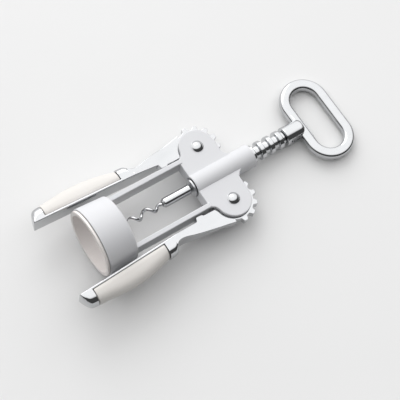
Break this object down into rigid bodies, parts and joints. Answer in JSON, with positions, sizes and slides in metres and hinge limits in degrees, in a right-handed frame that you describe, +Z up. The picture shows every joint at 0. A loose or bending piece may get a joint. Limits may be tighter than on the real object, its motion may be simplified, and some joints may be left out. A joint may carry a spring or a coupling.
{
  "type": "lever corkscrew",
  "caption": "Wing corkscrew: a lined bell on a cast frame, geared levers with moulded grips, and a ridged rack on a turning worm spindle with a ring handle.",
  "frame": {"origin": "under the middle of the closed corkscrew's bounding box, on the surface that the bell lies on", "axes": "+X along the screw axis from the bell's mouth to the ring handle, +Y towards the left lever, +Z up through the pivots' axes; the corkscrew lies flat"},
  "size_m": [0.166, 0.059, 0.0354],
  "materials": {
    "frame_paint": "satin light cool grey-white enamel on a zinc casting",
    "ivory_plastic": "smooth warm ivory moulding, semi-gloss",
    "bright_chrome": "bright chrome plate",
    "plain_steel": "zinc-plated steel hardware"
  },
  "bodies": {
    "frame": {"body_casting": "frame_paint", "bell_liner": "ivory_plastic", "pivot_rivet_left": "bright_chrome", "pivot_rivet_right": "bright_chrome", "rivet_washer_left": "plain_steel", "rivet_washer_right": "plain_steel"},
    "left_lever": {"lever_left": "bright_chrome", "grip_left": "ivory_plastic", "grip_screw_left_front": "plain_steel", "grip_screw_left_rear": "plain_steel"},
    "right_lever": {"lever_right": "bright_chrome", "grip_right": "ivory_plastic", "grip_screw_right_front": "plain_steel", "grip_screw_right_rear": "plain_steel"},
    "rack": {"rack_sleeve": "bright_chrome"},
    "screw": {"spindle": "bright_chrome", "thrust_washer": "plain_steel", "worm_socket": "bright_chrome", "worm": "bright_chrome", "ring_handle": "bright_chrome", "ring_pin": "bright_chrome"}
  },
  "joints": [
    {"name": "left_lever_hinge", "type": "hinge", "parent": "frame", "child": "left_lever", "pos_m": [0.006, 0.01607, 0.0177], "axis": [0, 0, -1], "range_deg": [0, 135]},
    {"name": "right_lever_hinge", "type": "hinge", "parent": "frame", "child": "right_lever", "pos_m": [0.006, -0.01607, 0.0177], "axis": [0, 0, 1], "range_deg": [0, 135]},
    {"name": "rack_slide", "type": "slide", "parent": "frame", "child": "rack", "axis": [-1, 0, 0], "range_m": [0, 0.0271]},
    {"name": "screw_spin", "type": "hinge", "parent": "rack", "child": "screw", "pos_m": [0.0482, 0, 0.0177], "axis": [-1, 0, 0], "continuous": true}
  ],
  "couplings": [
    {"joint": "right_lever_hinge", "follows": "left_lever_hinge", "ratio": 1},
    {"joint": "rack_slide", "follows": "left_lever_hinge", "m_per_rad": 0.0115}
  ]
}
